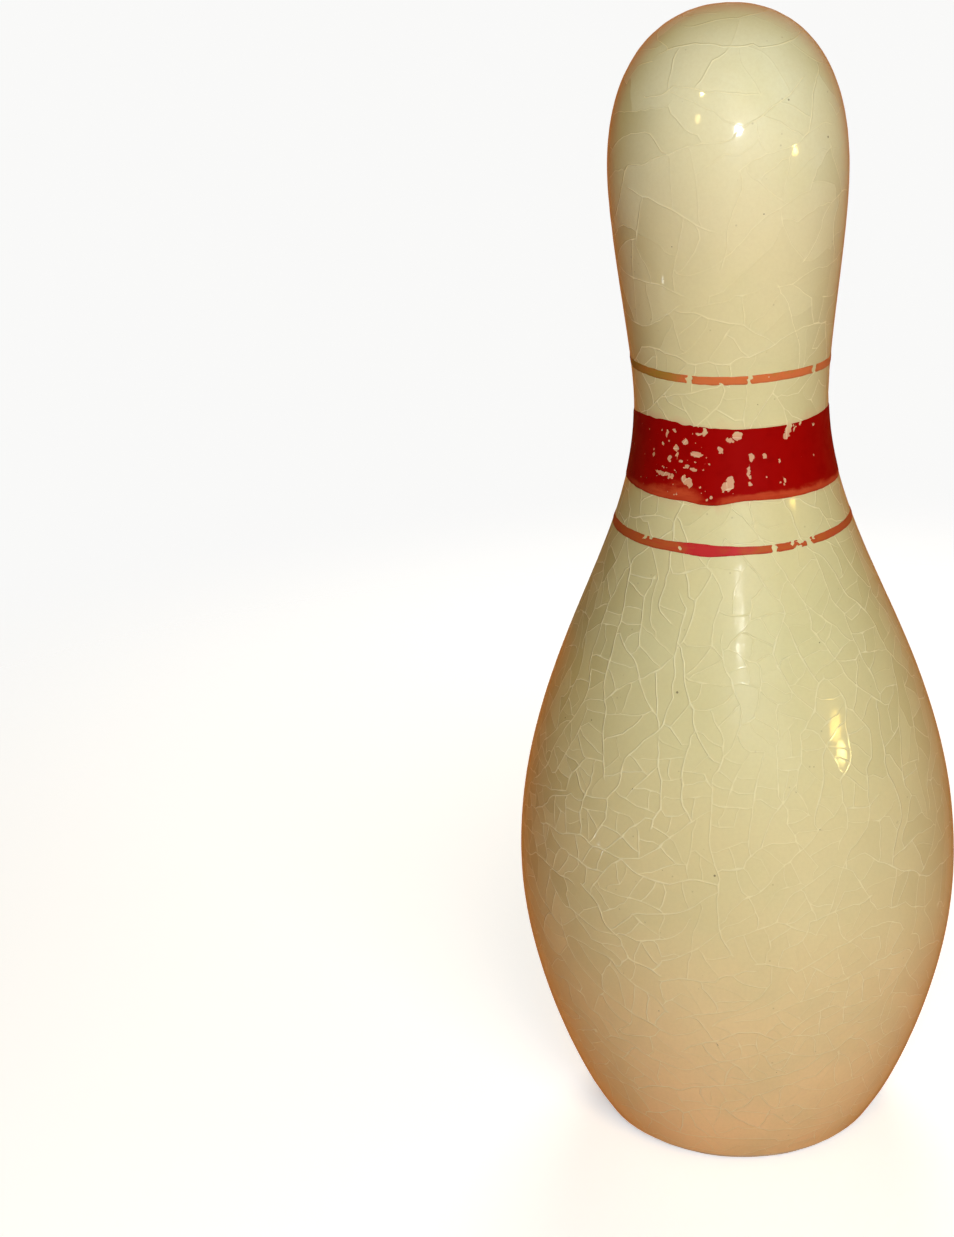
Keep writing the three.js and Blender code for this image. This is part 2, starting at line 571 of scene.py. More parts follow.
def crack_values(points, cracks):
    """How strongly each glaze point shows a crack: full on its middle line, none from its edges on.

    A crack fades out at an end that met no other, and cracks are fainter on the head."""
    samples, strengths = [], []
    for path, strength, ends in cracks:
        finer = np.arange(0, len(path) - 1 + 1e-9, 0.1)
        samples.append(on_surface(*(np.interp(finer, np.arange(len(path)), part) for part in path.T)))
        fading = [0, 0.8, len(path) - 1.8, len(path) - 1]
        strengths.append(strength * np.interp(finer, fading, [ends[0], 1, 1, ends[1]]))
    samples, strengths = np.concatenate(samples), np.concatenate(strengths)
    tree = kdtree.KDTree(len(samples))
    for number, sample in enumerate(samples.tolist()):
        tree.insert(sample, number)
    tree.balance()
    values = np.zeros(len(points))
    for i, point in enumerate(points.tolist()):
        for _, number, distance in tree.find_range(point, 0.9 * CRACK_HALF_WIDTH):
            values[i] = max(values[i], strengths[number] * (1 - distance / CRACK_HALF_WIDTH))
    return values * (1 - 0.2 * smooth_step(points[:, 2] / PIN_HEIGHT, 0.62, 0.75))


def cell_tones(faces, craze_value):
    """A random tone from 0 to 1 for each face, the same for all faces of one cell between cracks."""
    owner = list(range(len(faces)))

    def root(number):
        while owner[number] != number:
            owner[number] = owner[owner[number]]
            number = owner[number]
        return number

    on_crack = (craze_value > CRACK_SHOWN).tolist()
    first_face = {}
    for number, face in enumerate(faces):
        for a, b in round_pairs(face):
            if on_crack[a] and on_crack[b]:
                continue
            other = first_face.setdefault((min(a, b), max(a, b)), number)
            owner[root(number)] = root(other)
    dice = random.Random(CELL_SEED)
    tones = {}
    return [tones.setdefault(root(number), dice.random()) for number in range(len(faces))]


def pit_values(points, pits):
    """How deep in a pit each glaze point is, from 0 at the rim to 1 at the centre."""
    values = np.zeros(len(points))
    for azimuth, s, radius in pits:
        distance = np.linalg.norm(points - on_surface(azimuth, s), axis=1)
        values = np.maximum(values, 1 - distance / radius)
    return values.clip(0)


# The rolled lower lip of the glaze, as arc lengths and lifts, and the number of rows of its inner face.
LIP = [(-0.10 * MM, -0.07 * MM), (-0.13 * MM, -0.2 * MM), (-0.07 * MM, -0.32 * MM)]
INNER_ROWS = 56


def add_glaze_inside(points, faces, foot_ring, azimuths):
    """Closes the glaze from its lower edge with the lip and a plain inner face up to the crown."""
    inner = [(s, -GLAZE_THICKNESS) for s in np.linspace(0, outline.top - CAP_RADIUS, INNER_ROWS)]
    first, columns, rows = len(points), len(azimuths), len(LIP) + INNER_ROWS
    for s, sunk in LIP + inner:
        points += on_surface(azimuths, np.full(columns, s), sunk).tolist()
    for here, after in round_pairs(list(range(columns))):
        faces.append((foot_ring[after], foot_ring[here], first + here, first + after))
    faces += turned_faces(first, rows, columns, outward=False)
    top_ring = list(range(first + (rows - 1) * columns, first + rows * columns))
    points.append(on_surface(0, outline.top, -GLAZE_THICKNESS).tolist())
    faces += fan(top_ring[::-1], len(points) - 1)


def glaze_coat(material):
    """The glaze as one closed shell: a cracked outer face, a rolled lower lip and a plain inner face."""
    cracks, pits = craze(), glaze_pits()
    places, faces = sew_seam(*glaze_plan(cracks, pits).triangles())
    smooth = on_surface(*places.T)
    craze_value = crack_values(smooth, cracks)
    pit_value = pit_values(smooth, pits)
    lift = -CRACK_DEPTH * craze_value - PIT_DEPTH * pit_value
    points, faces = on_surface(*places.T, lift).tolist(), faces.tolist()

    borders = {a for a, _ in open_edges(faces)}
    by_azimuth = sorted(borders, key=lambda number: places[number, 0])
    crown_ring = [number for number in by_azimuth if places[number, 1] > outline.top / 2]
    foot_ring = [number for number in by_azimuth if places[number, 1] < outline.top / 2]
    crown = len(points)
    points.append(on_surface(0, outline.top).tolist())
    faces += fan(crown_ring, crown)
    tones = cell_tones(faces, np.append(craze_value, 0))
    add_glaze_inside(points, faces, foot_ring, places[foot_ring, 0])

    normals = np.zeros((len(points), 3))
    normals[:crown] = surface_normals(*places.T)
    normals[crown] = (0, 0, 1)
    piece = make_piece("glaze_coat_crazed", points, faces, normals)
    low, high = wide_edges(places[:, 0])
    under_paint = np.minimum(smooth[:, 2] - low, high - smooth[:, 2])
    add_values(piece, "craze", craze_value)
    add_values(piece, "pit", pit_value)
    add_values(piece, "cell", tones, "FACE")
    add_values(piece, "stain", smooth_step(under_paint, -0.4 * MM, 0.8 * MM))
    dress(piece, material, "pin", "glaze_coat")


# ------------------------ painted bands

FILM_CELL = 0.125 * MM
FILM_THICKNESS = 0.045 * MM
FILM_EDGE = 0.015 * MM
FILM_SUNK = 0.02 * MM
FILM_ROUNDING = 0.28 * MM


def film_cells(depth):
    """Cuts a grid of depths, rows by columns round the pin, along the line where the depth is zero.

    Returns the corners as (row, column, whether it is on the cut), and the faces."""
    rows, columns = depth.shape
    faces, numbers = [], {}
    for row, column in product(range(rows - 1), range(columns)):
        ring = [(row, column), (row, column + 1), (row + 1, column + 1), (row + 1, column)]
        ring = [(r, c, depth[r, c % columns]) for r, c in ring]
        face = []
        for here, there in round_pairs(ring):
            if here[2] > 0:
                face.append((here[0], here[1] % columns, False))
            if (here[2] > 0) != (there[2] > 0):
                (r, c, start), (next_r, next_c, end) = sorted([here, there])
                share = float(np.clip(start / (start - end), 0.1, 0.9))
                face.append((r + share * (next_r - r), (c + share * (next_c - c)) % columns, True))
        if face:
            faces.append([numbers.setdefault(corner, len(numbers)) for corner in face])
    return np.array(list(numbers), float), faces


def paint_film(name, node, slot, material, reach, extra, edges, depth_inside, fade):
    """A film of paint on the glaze between the heights in reach, wherever depth_inside is positive.

    Paint pools along edges. The film is thicker by extra where fade is 0."""
    low_s, high_s = (float(outline.at_height(height)) for height in reach)
    middle = float(outline.radius((low_s + high_s) / 2))
    columns = int(TURN * middle / FILM_CELL)
    rows = int((high_s - low_s) / FILM_CELL) + 1
    grid_s, grid_azimuth = np.meshgrid(
        np.linspace(low_s, high_s, rows), np.arange(columns) * TURN / columns - math.pi, indexing="ij"
    )
    depths = read_field(depth_inside, grid_azimuth.ravel(), grid_s.ravel()).reshape(rows, columns)
    corners, faces = film_cells(depths)
    azimuths = corners[:, 1] * TURN / columns - math.pi
    arcs = low_s + corners[:, 0] * (high_s - low_s) / (rows - 1)
    depth_here = read_field(depth_inside, azimuths, arcs)
    fades = read_field(fade, azimuths, arcs)
    body = smooth_step(depth_here, 0, FILM_ROUNDING)
    thick = FILM_EDGE + (FILM_THICKNESS - FILM_EDGE) * body + extra * body * (1 - fades)
    cut = corners[:, 2] > 0
    thick[cut] = FILM_EDGE
    top = on_surface(azimuths, arcs, thick)
    bottom = on_surface(azimuths, arcs, -FILM_SUNK)
    count = len(corners)
    backs = [[number + count for number in face[::-1]] for face in faces]
    sides = [(b, a, a + count, b + count) for a, b in open_edges(faces)]
    normals = np.concatenate([surface_normals(azimuths, arcs), np.zeros((count, 3))])
    normals[:count][cut] = 0
    piece = make_piece(name, np.concatenate([top, bottom]), faces + backs + sides, normals)
    add_values(piece, "fade", np.concatenate([fades, fades]))
    low, high = edges(azimuths)
    heights = outline.height(arcs)
    pooled = 1 - smooth_step(heights - low, 0, 0.2 * MM)
    pooled = np.maximum(pooled, 0.5 - 0.5 * smooth_step(high - heights, 0, 0.15 * MM))
    add_values(piece, "pooled", np.tile(pooled, 2))
    dress(piece, material, "pin", node)


def read_field(field, azimuths, arcs):
    """The values of a paint field at places on the glaze."""
    return field(azimuths, outline.height(arcs), on_surface(azimuths, arcs))


def dip(azimuths, degrees, half_degrees):
    """A rounded bump, 1 at an azimuth and 0 from half_degrees away on."""
    away = abs(wrapped(azimuths - math.radians(degrees))) / math.radians(half_degrees)
    return smooth_step(1 - away, 0, 1)


# Flaked chips: (azimuth in degrees, height, half width, half height in mm, lean in degrees).
WIDE_CHIPS = [
    (-2, 75.0, 0.48, 0.5, 0), (-1, 75.6, 0.36, 0.3, 0),
    (4, 79.8, 0.36, 0.45, -15), (0, 79.5, 0.36, 0.2, 30),
    (10, 76.2, 0.17, 0.55, 5), (10.4, 75.2, 0.14, 0.3, 0), (11.5, 77.7, 0.2, 0.42, 10),
    (19.6, 77.7, 0.2, 0.2, 0), (28, 77.0, 0.16, 0.17, 0),
    (29.8, 75.0, 0.15, 0.4, 0), (27, 75.0, 0.16, 0.1, 0),
    (35.5, 80.2, 0.34, 0.5, 0), (33.6, 79.4, 0.36, 0.4, -25), (39, 80.0, 0.13, 0.32, -40),
    (43.6, 80.4, 0.14, 0.3, 0), (54.6, 79.8, 0.2, 0.16, 0),
    (-15, 80.2, 0.23, 0.34, 0), (-18, 80.0, 0.45, 0.1, 0), (-19, 81.0, 0.42, 0.28, 0),
    (-39, 79.7, 0.13, 0.42, -15), (-34.4, 80.2, 0.25, 0.2, -20), (-27, 79.2, 0.24, 0.27, 20),
    (-32.4, 78.5, 0.28, 0.25, 0), (-32.2, 77.9, 0.16, 0.36, 0), (-42, 78.7, 0.13, 0.25, 20),
    (-37, 77.4, 0.24, 0.29, 0), (-48.5, 77.4, 0.18, 0.22, 0), (-20, 78.0, 0.64, 0.23, -10),
    (-29, 77.2, 0.24, 0.1, -30), (-25.4, 76.7, 0.34, 0.2, -40), (-20.5, 76.5, 0.4, 0.15, 15),
    (-43, 75.8, 0.5, 0.17, -10), (-38, 75.8, 0.5, 0.16, 0), (-35, 75.6, 0.38, 0.2, -30),
    (-27, 75.6, 0.24, 0.3, 0), (-24, 75.3, 0.52, 0.4, 0), (-6, 78.5, 0.2, 0.24, 30),
    (-15, 76.6, 0.14, 0.15, 0), (-13, 73.7, 0.14, 0.15, 0), (-10.5, 73.9, 0.13, 0.15, 0),
    (118, 76.4, 0.4, 0.3, 20), (131, 78.6, 0.25, 0.45, 0), (152, 75.6, 0.3, 0.2, -20),
    (-141, 77.4, 0.5, 0.3, 15), (-128, 79.2, 0.25, 0.25, 0), (-104, 75.9, 0.2, 0.4, 10),
]


# Small chips besides those of the table, most of them round the worn side, and how many smaller ones
# break off round each large one.
SCATTERED_CHIPS = 90
WORN_AZIMUTH = -34
WORN_SPREAD = 17
WORN_SHARE = 0.6
SPLINTERS_PER_CHIP = 3


def scattered_chips(seed):
    """Small chips of the wide band, most of them round the azimuth where it is worn."""
    dice = random.Random(seed)
    chips = []
    for _ in range(SCATTERED_CHIPS):
        worn = dice.random() < WORN_SHARE
        degrees = dice.gauss(WORN_AZIMUTH, WORN_SPREAD) if worn else dice.uniform(-180, 180)
        half = dice.uniform(0.04, 0.11)
        chips.append((degrees, dice.uniform(73.9, 80.6), half, half * dice.uniform(0.7, 1.5), 0))
    return chips


# How flakes shape a chip: the flakes' size, how far a place is pulled to its flake's middle, how ragged
# the rim is, how far a chip reaches, and the half size in mm from which a chip is fully flaky.
CHIP_FLAKE = 0.3 * MM
FLAKE_PULL = 0.9
CHIP_RAG = 0.09 * MM
CHIP_REACH = 2 * MM
LARGE_CHIP = 0.2


def chipped_depth(azimuths, heights, points, chips):
    """How far outside the nearest chip each place is, negative inside it.

    Paint comes off in small flakes, so a place counts as nearly where its flake's middle is."""
    shifts = FLAKE_PULL * np.array([
        noise.voronoi(Vector(p) / CHIP_FLAKE)[1][0] * CHIP_FLAKE - Vector(p) for p in points
    ])
    flake_across = shifts[:, 0] * np.cos(azimuths) + shifts[:, 1] * np.sin(azimuths)
    ragged = CHIP_RAG * soft_noise(points, 0.22 * MM, 7.0)
    depth = np.full(len(azimuths), 1.0)
    radii = np.hypot(points[:, 0], points[:, 1])
    for degrees, height, half_width, half_height, lean in chips:
        across = wrapped(azimuths - math.radians(degrees)) * radii
        up = heights - height * MM
        near = (abs(across) < CHIP_REACH) & (abs(up) < CHIP_REACH)
        flaky = min(1, min(half_width, half_height) / LARGE_CHIP)
        across = across[near] + flaky * flake_across[near]
        up = up[near] + flaky * shifts[near, 2]
        c, s = math.cos(math.radians(lean)), math.sin(math.radians(lean))
        a = (c * across + s * up) / (half_width * MM)
        b = (c * up - s * across) / (half_height * MM)
        small = min(half_width, half_height) * MM
        depth[near] = np.minimum(depth[near], (np.hypot(a, b) - 1) * small + flaky * ragged[near])
    return depth


def splintered(chips, seed):
    """The same chips and the smaller ones broken off round their rims."""
    dice = random.Random(seed)
    splinters = []
    for degrees, height, half_width, half_height, _ in chips:
        radius = float(outline.radius(outline.at_height(height * MM)))
        for _ in range(SPLINTERS_PER_CHIP):
            way = dice.uniform(0, TURN)
            across = 0.95 * half_width * math.cos(way)
            up = 0.95 * half_height * math.sin(way)
            small = dice.uniform(0.3, 0.55)
            splinters.append((
                degrees + math.degrees(across * MM / radius),
                height + up, small * half_width, small * half_height, dice.uniform(-40, 40),
            ))
    return chips + splinters


def band_depth(azimuths, heights, points, edges, ragged, chips):
    """The depth inside a brushed band with slightly ragged edges, and outside its chips."""
    low, high = edges(azimuths)
    rag = ragged * soft_noise(points, 0.7 * MM, 5.0) + 0.6 * ragged * soft_noise(points, 2.2 * MM, 9.0)
    depth = np.minimum(heights - low + rag, high - heights + rag)
    return np.minimum(depth, chipped_depth(azimuths, heights, points, chips))


LAP_AZIMUTH = -11


def wide_edges(azimuths):
    """The lower and upper edges of the wide band: it sags where the brush stroke closes."""
    sag = dip(azimuths, LAP_AZIMUTH, 16)
    low = (73.4 + 0.35 * dip(azimuths, -78, 45) + 0.12 * dip(azimuths, 12, 18) - 0.3 * sag) * MM
    high = (80.5 + 0.65 * dip(azimuths, -52, 58) + 0.3 * dip(azimuths, 80, 45)) * MM
    return low, high


def wide_depth(azimuths, heights, points):
    worn_top = dip(azimuths, -30, 45) * (heights > 77 * MM)
    ragged = (0.035 + 0.12 * worn_top) * MM
    chips = splintered(WIDE_CHIPS, seed=3) + scattered_chips(seed=5)
    return band_depth(azimuths, heights, points, wide_edges, ragged, chips)


def line_depth(edges, ragged, gaps, seed):
    """The depth inside a thin painted line, as a field, from its edges and its gaps."""
    chips = splintered(gaps, seed)
    return lambda *places: band_depth(*places, edges, ragged, chips)


def wide_fade(azimuths, heights, points):
    """Where the wide band was brushed thin: along its lower edge, away from the brush lap."""
    low, _ = wide_edges(azimuths)
    zone = (1.15 + 1.2 * dip(azimuths, -31, 21) + 0.4 * soft_noise(points, 3.5 * MM, 2.0)) * MM
    thin = 1 - smooth_step(heights - low, 0.2 * zone, zone)
    return thin * (1 - 0.85 * dip(azimuths, LAP_AZIMUTH + 1, 13)) * (1 - 0.7 * dip(azimuths, -75, 30))


def upper_edges(azimuths):
    middle = 85.55 + 0.22 * np.cos(azimuths - 2.8) + 0.06 * np.sin(3 * azimuths)
    middle = middle + 0.5 * dip(azimuths, -75, 85)
    return (middle - 0.42) * MM, (middle + 0.42) * MM


UPPER_GAPS = [
    (-23.8, 85.2, 0.28, 0.5, 10), (-22.8, 85.8, 0.2, 0.4, 0), (11.4, 85.7, 0.3, 0.3, 0),
    (10.8, 85.2, 0.13, 0.3, 20), (54.5, 85.6, 0.24, 0.9, -8), (-5.0, 84.95, 0.2, 0.2, 0),
    (22.0, 85.5, 0.08, 0.08, 0), (96, 85.6, 0.5, 1.0, 10), (141, 85.4, 0.25, 0.8, 0),
    (-168, 85.7, 1.1, 0.9, 0), (-121, 85.3, 0.4, 0.3, 0), (-84, 85.8, 0.3, 0.3, 0),
]


def upper_fade(azimuths, heights, points):
    """Where the upper line has turned brown: round its left side."""
    return smooth_step(soft_noise(points, 9 * MM, 4.0) + 2.2 * dip(azimuths, -62, 50), 0.2, 1.4)


def lower_edges(azimuths):
    drop = 0.14 * dip(azimuths, 12, 36) + 0.08 * dip(azimuths, LAP_AZIMUTH, 14)
    middle = 69.0 + 0.22 * dip(azimuths, -85, 60) + 0.2 * dip(azimuths, 80, 40) - drop
    half = 0.37 + 0.1 * dip(azimuths, -50, 50) + 0.19 * dip(azimuths, LAP_AZIMUTH - 2, 20)
    return (middle - half) * MM, (middle + half) * MM


LOWER_GAPS = [
    (20.2, 68.9, 0.2, 0.9, 12), (29.5, 69.2, 0.35, 0.2, 20), (32.0, 68.6, 0.5, 0.22, 0),
    (34.5, 69.2, 0.4, 0.3, 10), (38.6, 68.9, 0.26, 0.9, 25), (41.5, 69.3, 0.2, 0.3, 0),
    (-45.0, 69.4, 0.3, 0.22, 0), (-41.5, 69.45, 0.18, 0.18, 0), (-24.5, 68.9, 0.14, 0.16, 0),
    (104, 69.0, 0.6, 0.8, 20), (126, 68.7, 0.3, 0.3, 0), (170, 69.1, 0.3, 0.9, -10),
    (-152, 68.8, 0.9, 0.35, 0), (-110, 69.2, 0.35, 0.3, 0),
]


def lower_fade(azimuths, heights, points):
    """0 on the crimson lap of the lower line and 1 on the thin terracotta rest of it."""
    lap = dip(azimuths, LAP_AZIMUTH + 3, 22)
    return np.clip(1 - 1.5 * lap + 0.12 * soft_noise(points, 2 * MM, 6.0), 0, 1)


# ------------------------ clay and cork

TURNED_COLUMNS = 144


def turned_piece(name, profile, columns, roughen):
    """A closed solid turned about +Z from a profile of (radius, height) that starts and ends on the axis.

    roughen gives how far each point of a ring stands proud."""
    profile = np.array(profile)
    slopes = np.gradient(profile, axis=0)
    outward = np.column_stack([slopes[:, 1], -slopes[:, 0]])
    outward /= np.linalg.norm(outward, axis=1, keepdims=True).clip(1e-12)
    azimuths = np.arange(columns) * TURN / columns
    points = []
    for (radius, height), (out_r, out_z) in zip(profile[1:-1], outward[1:-1]):
        ring = turned(radius, height, azimuths)
        points += (ring + turned(out_r, out_z, azimuths) * roughen(ring)[:, None]).tolist()
    rows = len(profile) - 2
    faces = turned_faces(0, rows, columns)
    points.append((0, 0, profile[0][1]))
    faces += fan(list(range(columns))[::-1], len(points) - 1)
    points.append((0, 0, profile[-1][1]))
    last = (rows - 1) * columns
    faces += fan(list(range(last, last + columns)), len(points) - 1)
    return make_piece(name, points, faces)


def arc_points(centre, radius, start, end, count=6):
    """Points on a circle in the (radius, height) plane, from one angle to another in degrees."""
    angles = np.radians(np.linspace(start, end, count))
    return [(centre[0] + radius * math.cos(a), centre[1] + radius * math.sin(a)) for a in angles]


def straight(start, end, spacing):
    """Evenly spaced points from start up to, but without, end."""
    count = max(1, round(math.dist(start, end) / spacing))
    return [tuple(np.array(start) + (np.array(end) - start) * i / count) for i in range(count)]


def sunk_outline(depth, low, count):
    """The outline's half section at a depth below the glazed outside, from a height up to the axis."""
    r, z = outline.moved(np.linspace(float(outline.at_height(low)), outline.top, count), -depth)
    r[-1] = 0
    return list(zip(r, z))


def clay_profile():
    """The hollow body's half section, from the crown of the hollow, out under the foot and up again."""
    depth = GLAZE_THICKNESS + GLAZE_TO_CLAY
    outside = sunk_outline(depth, cad_low.z + HEEL_HEIGHT, 90)
    hollow = sunk_outline(depth + CLAY_WALL, HOLLOW_FOOT, 50)[::-1]
    heel_radius, heel_height = outside[0]
    ring_outer = heel_radius - heel_height
    ring_inner = ring_outer - RING_WIDTH
    worn, floor_round, recess_round, ring_round = 0.35 * MM, 2.6 * MM, 1.0 * MM, 0.45 * MM
    floor_edge = hollow[-1][0] - floor_round
    hole_edge = HOLE_RADIUS + worn
    recess_edge = ring_inner - 1.3 * MM
    ring_edge = ring_inner + ring_round
    return (
        hollow
        + arc_points((floor_edge, FLOOR_TOP + floor_round), floor_round, 0, -90, 8)
        + straight((floor_edge, FLOOR_TOP), (hole_edge, FLOOR_TOP), 0.8 * MM)
        + arc_points((hole_edge, FLOOR_TOP - worn), worn, 90, 180)
        + straight((HOLE_RADIUS, FLOOR_TOP - worn), (HOLE_RADIUS, RECESS_DEPTH + worn), 0.5 * MM)
        + arc_points((hole_edge, RECESS_DEPTH + worn), worn, 180, 270)
        + straight((hole_edge, RECESS_DEPTH), (recess_edge, RECESS_DEPTH), 0.45 * MM)
        + arc_points((recess_edge, RECESS_DEPTH - recess_round), recess_round, 90, 35)
        + arc_points((ring_edge, ring_round), ring_round, 195, 270)
        + straight((ring_edge, 0), (ring_outer, 0), 0.4 * MM)
        + arc_points((ring_outer, heel_height), heel_height, 270, 360, 8)[:-1]
        + outside
    )


def clay_body(material):
    """The slip-cast body, with slightly uneven sponged surfaces where it is bare."""
    def roughen(ring):
        coarse = 0.035 * soft_noise(ring, 3.0 * MM, 1.0) + 0.02 * soft_noise(ring, 0.9 * MM, 2.0)
        bare = (ring[:, 2] < FLOOR_TOP) & (ring[:, 2] > 0.05 * MM)
        return coarse * MM * bare

    piece = turned_piece("clay_body_cast", clay_profile(), TURNED_COLUMNS, roughen)
    dress(piece, material, "pin", "pin_body")


CORK_COLUMNS = 132
CORK_SPACING = 0.28 * MM
CORK_ROUND = 0.6 * MM


def cork_stopper(material):
    """The tapered cork: rounded ends, grainy sides and the small dark pits of real cork."""
    low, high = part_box("base_stopper")
    wide, narrow, edge = high.x, CORK_TOP_RADIUS, CORK_ROUND
    profile = (
        straight((0, low.z), (wide - edge, low.z), CORK_SPACING)
        + arc_points((wide - edge, low.z + edge), edge, -90, 0, 7)
        + straight((wide, low.z + edge), (narrow, high.z - edge), CORK_SPACING)
        + arc_points((narrow - edge, high.z - edge), edge, 0, 90, 7)
        + straight((narrow - edge, high.z), (0, high.z), CORK_SPACING)
        + [(0, high.z)]
    )

    def roughen(ring):
        grain = -0.02 * abs(soft_noise(ring, 0.5 * MM, 8.0)) - 0.03 * abs(soft_noise(ring, 1.3 * MM, 3.0))
        lenticels = np.array([
            noise.noise(Vector((x / 0.9, y / 0.9, z / 2.6)) / MM + Vector((4, 1, 7))) for x, y, z in ring
        ])
        return (grain - 0.28 * smooth_step(lenticels, 0.38, 0.6)) * MM

    piece = turned_piece("cork_stopper", profile, CORK_COLUMNS, roughen)
    dress(piece, material, "stopper", "base_stopper")


# ------------------------ materials

def tint(red, green, blue):
    """A colour given as on a screen, 0 to 255, turned to Blender's linear values."""
    def linear(value):
        share = value / 255
        return share / 12.92 if share <= 0.04045 else ((share + 0.055) / 1.055) ** 2.4
    return (linear(red), linear(green), linear(blue), 1)


class Graph:
    """The nodes of a new material or world, added one call at a time. Inputs may be values or sockets."""

    def __init__(self, name, kind=bpy.data.materials):
        self.owner = kind.new(name)
        self.owner.use_nodes = True
        self.nodes = self.owner.node_tree.nodes
        self.links = self.owner.node_tree.links
        self.nodes.clear()

    def put(self, socket, value):
        if isinstance(value, bpy.types.NodeSocket):
            self.links.new(value, socket)
        elif value is not None:
            socket.default_value = value

    def node(self, kind, output, inputs=None, **settings):
        """Adds a node with the given settings and inputs, and returns one of its outputs."""
        made = self.nodes.new("ShaderNode" + kind)
        for name, value in settings.items():
            setattr(made, name, value)
        for name, value in (inputs or {}).items():
            self.put(made.inputs[name], value)
        return made.outputs[output] if output is not None else None

    def finish(self, **inputs):
        """Makes the surface from the inputs of Blender's general shader, and returns the material."""
        named = {name.replace("_", " "): value for name, value in inputs.items()}
        self.node("OutputMaterial", None, {"Surface": self.node("BsdfPrincipled", "BSDF", named)})
        return self.owner

    def coordinates(self):
        return self.node("TexCoord", "Object")

    def place(self, axis):
        """How far a point is from the centre of the foot along an axis, in metres."""
        return self.node("SeparateXYZ", axis, {"Vector": self.coordinates()})

    def attribute(self, name):
        return self.node("Attribute", "Fac", attribute_name=name)

    def scaled(self, size, stretch):
        """Coordinates that rise by 1 over the given size in metres, times the stretch of each axis."""
        scale = [1 / (size * longer) for longer in stretch]
        return self.node("Mapping", "Vector", {"Vector": self.coordinates(), "Scale": scale})

    def noise(self, size, detail=3.0, roughness=0.55, stretch=(1, 1, 1)):
        """Noise from 0 to 1 with features of the given size in metres, stretched along the axes."""
        vector = self.scaled(size, stretch)
        inputs = {"Vector": vector, "Scale": 1, "Detail": detail, "Roughness": roughness}
        return self.node("TexNoise", "Fac", inputs)

    def cells(self, size):
        """The distance to the middle of the nearest of many scattered cells of the given size."""
        return self.node("TexVoronoi", "Distance", {"Vector": self.scaled(size, (1, 1, 1)), "Scale": 1})

    def ramp(self, value, low, high, to_low=0.0, to_high=1.0, smooth=True):
        """Maps value from low..high to to_low..to_high, held at the ends."""
        inputs = {"Value": value, "From Min": low, "From Max": high, "To Min": to_low, "To Max": to_high}
        way = "SMOOTHSTEP" if smooth else "LINEAR"
        return self.node("MapRange", "Result", inputs, interpolation_type=way)

    def tones(self, value, stops):
        """A colour that runs through the stops as value goes from 0 to 1."""
        colour = self.node("ValToRGB", "Color", {"Fac": value})
        elements = colour.node.color_ramp.elements
        while len(elements) < len(stops):
            elements.new(0.5)
        for element, (place, shade) in zip(elements, stops):
            element.position = place
            element.color = tint(*shade)
        return colour

    def maths(self, operation, a, b):
        return self.node("Math", "Value", {0: a, 1: b}, operation=operation)

    def times(self, a, b):
        return self.maths("MULTIPLY", a, b)

    def mix(self, share, a, b):
        """A colour from a, where share is 0, to b, where it is 1, by the colour sockets of Mix."""
        return self.node("Mix", 2, {0: share, 6: a, 7: b}, data_type="RGBA")

    def bump(self, height, distance, strength=1.0, normal=None):
        inputs = {"Height": height, "Distance": distance, "Strength": strength, "Normal": normal}
        return self.node("Bump", "Normal", inputs)


# The glaze's tone up the pin: (share of the height, screen colour). The warm orange at the foot is partly
# painted bounce light from a warm surface below, and the pale crown is partly painted light from above.
GLAZE_TONES_WITH_PAINTED_LIGHT = [
    (0.00, (255, 222, 170)),
    (0.28, (227, 216, 168)),
    (0.50, (216, 213, 168)),
    (0.70, (213, 210, 164)),
    (0.82, (219, 216, 180)),
    (1.00, (230, 238, 216)),
]


